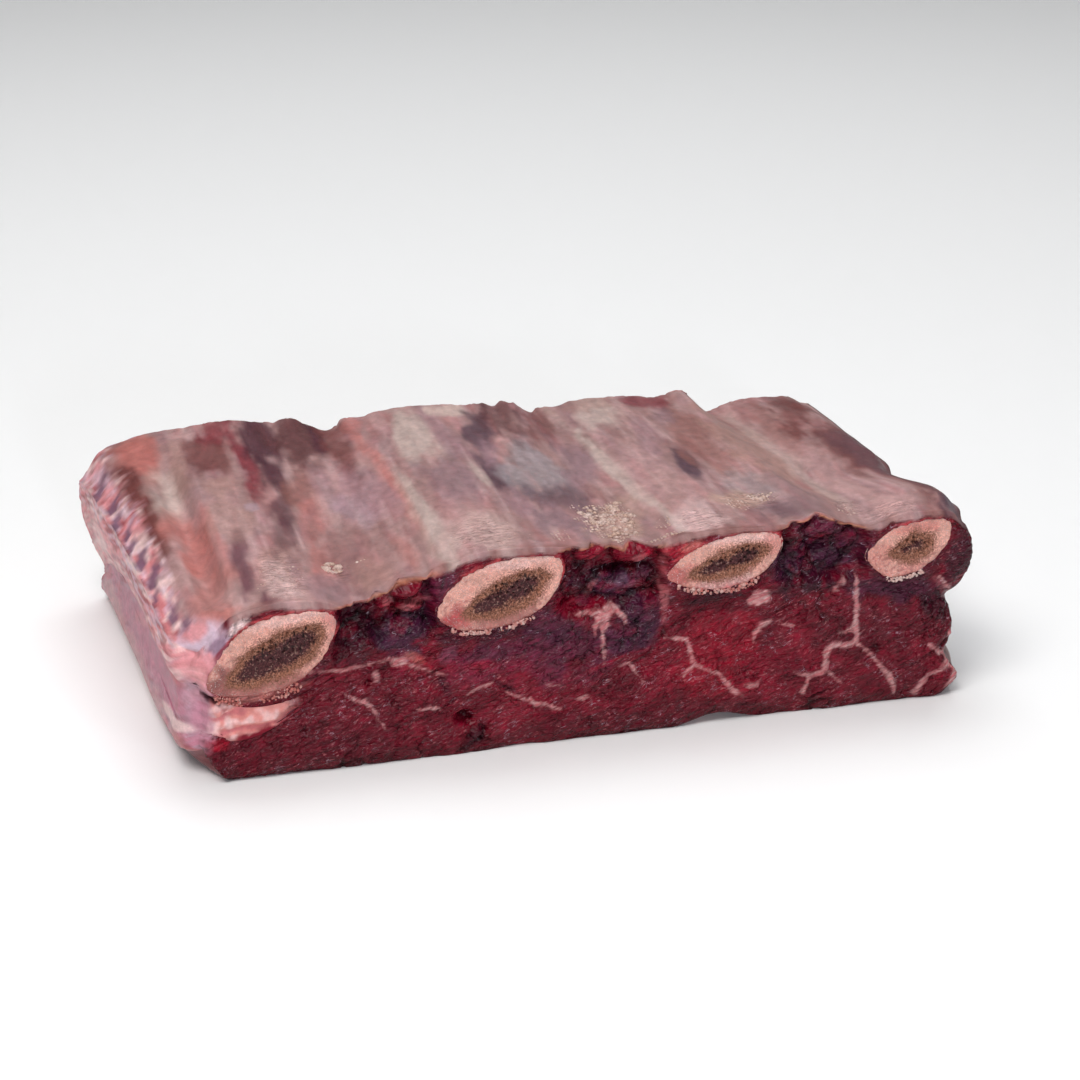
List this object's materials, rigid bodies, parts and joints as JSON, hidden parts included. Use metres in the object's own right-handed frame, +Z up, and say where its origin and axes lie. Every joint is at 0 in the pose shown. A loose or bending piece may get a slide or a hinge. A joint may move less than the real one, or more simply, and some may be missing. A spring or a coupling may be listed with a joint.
{
  "type": "raw beef short ribs",
  "caption": "Square-cut slab of raw beef short ribs lying rib side up, with flat rib bones showing at both cut faces over a thick layer of lean meat.",
  "frame": {"origin": "middle of the footprint, at the height of the surface that the meat lies on", "axes": "+X across the four ribs from the first to the fourth, +Y along the ribs from the front cut face to the back one, +Z up"},
  "size_m": [0.2722, 0.168, 0.0664],
  "materials": {
    "lean": "moist raw beef, deep burgundy with fine fibres and thin pale marbling",
    "fat": "pale pink raw fat, soft and slightly glossy",
    "rib_meat": "pinkish grey membrane with cream streaks over dark purple rib meat",
    "bone": "sawn cream-pink bone, matt",
    "marrow": "porous olive brown bone core with dark pores"
  },
  "bodies": {
    "root": {"lean_muscle": "lean", "fat_wedge": "fat", "rib_layer": "rib_meat", "rib_bone_1": "bone", "rib_bone_2": "bone", "rib_bone_3": "bone", "rib_bone_4": "bone", "rib_marrow_1": "marrow", "rib_marrow_2": "marrow", "rib_marrow_3": "marrow", "rib_marrow_4": "marrow"}
  },
  "joints": []
}
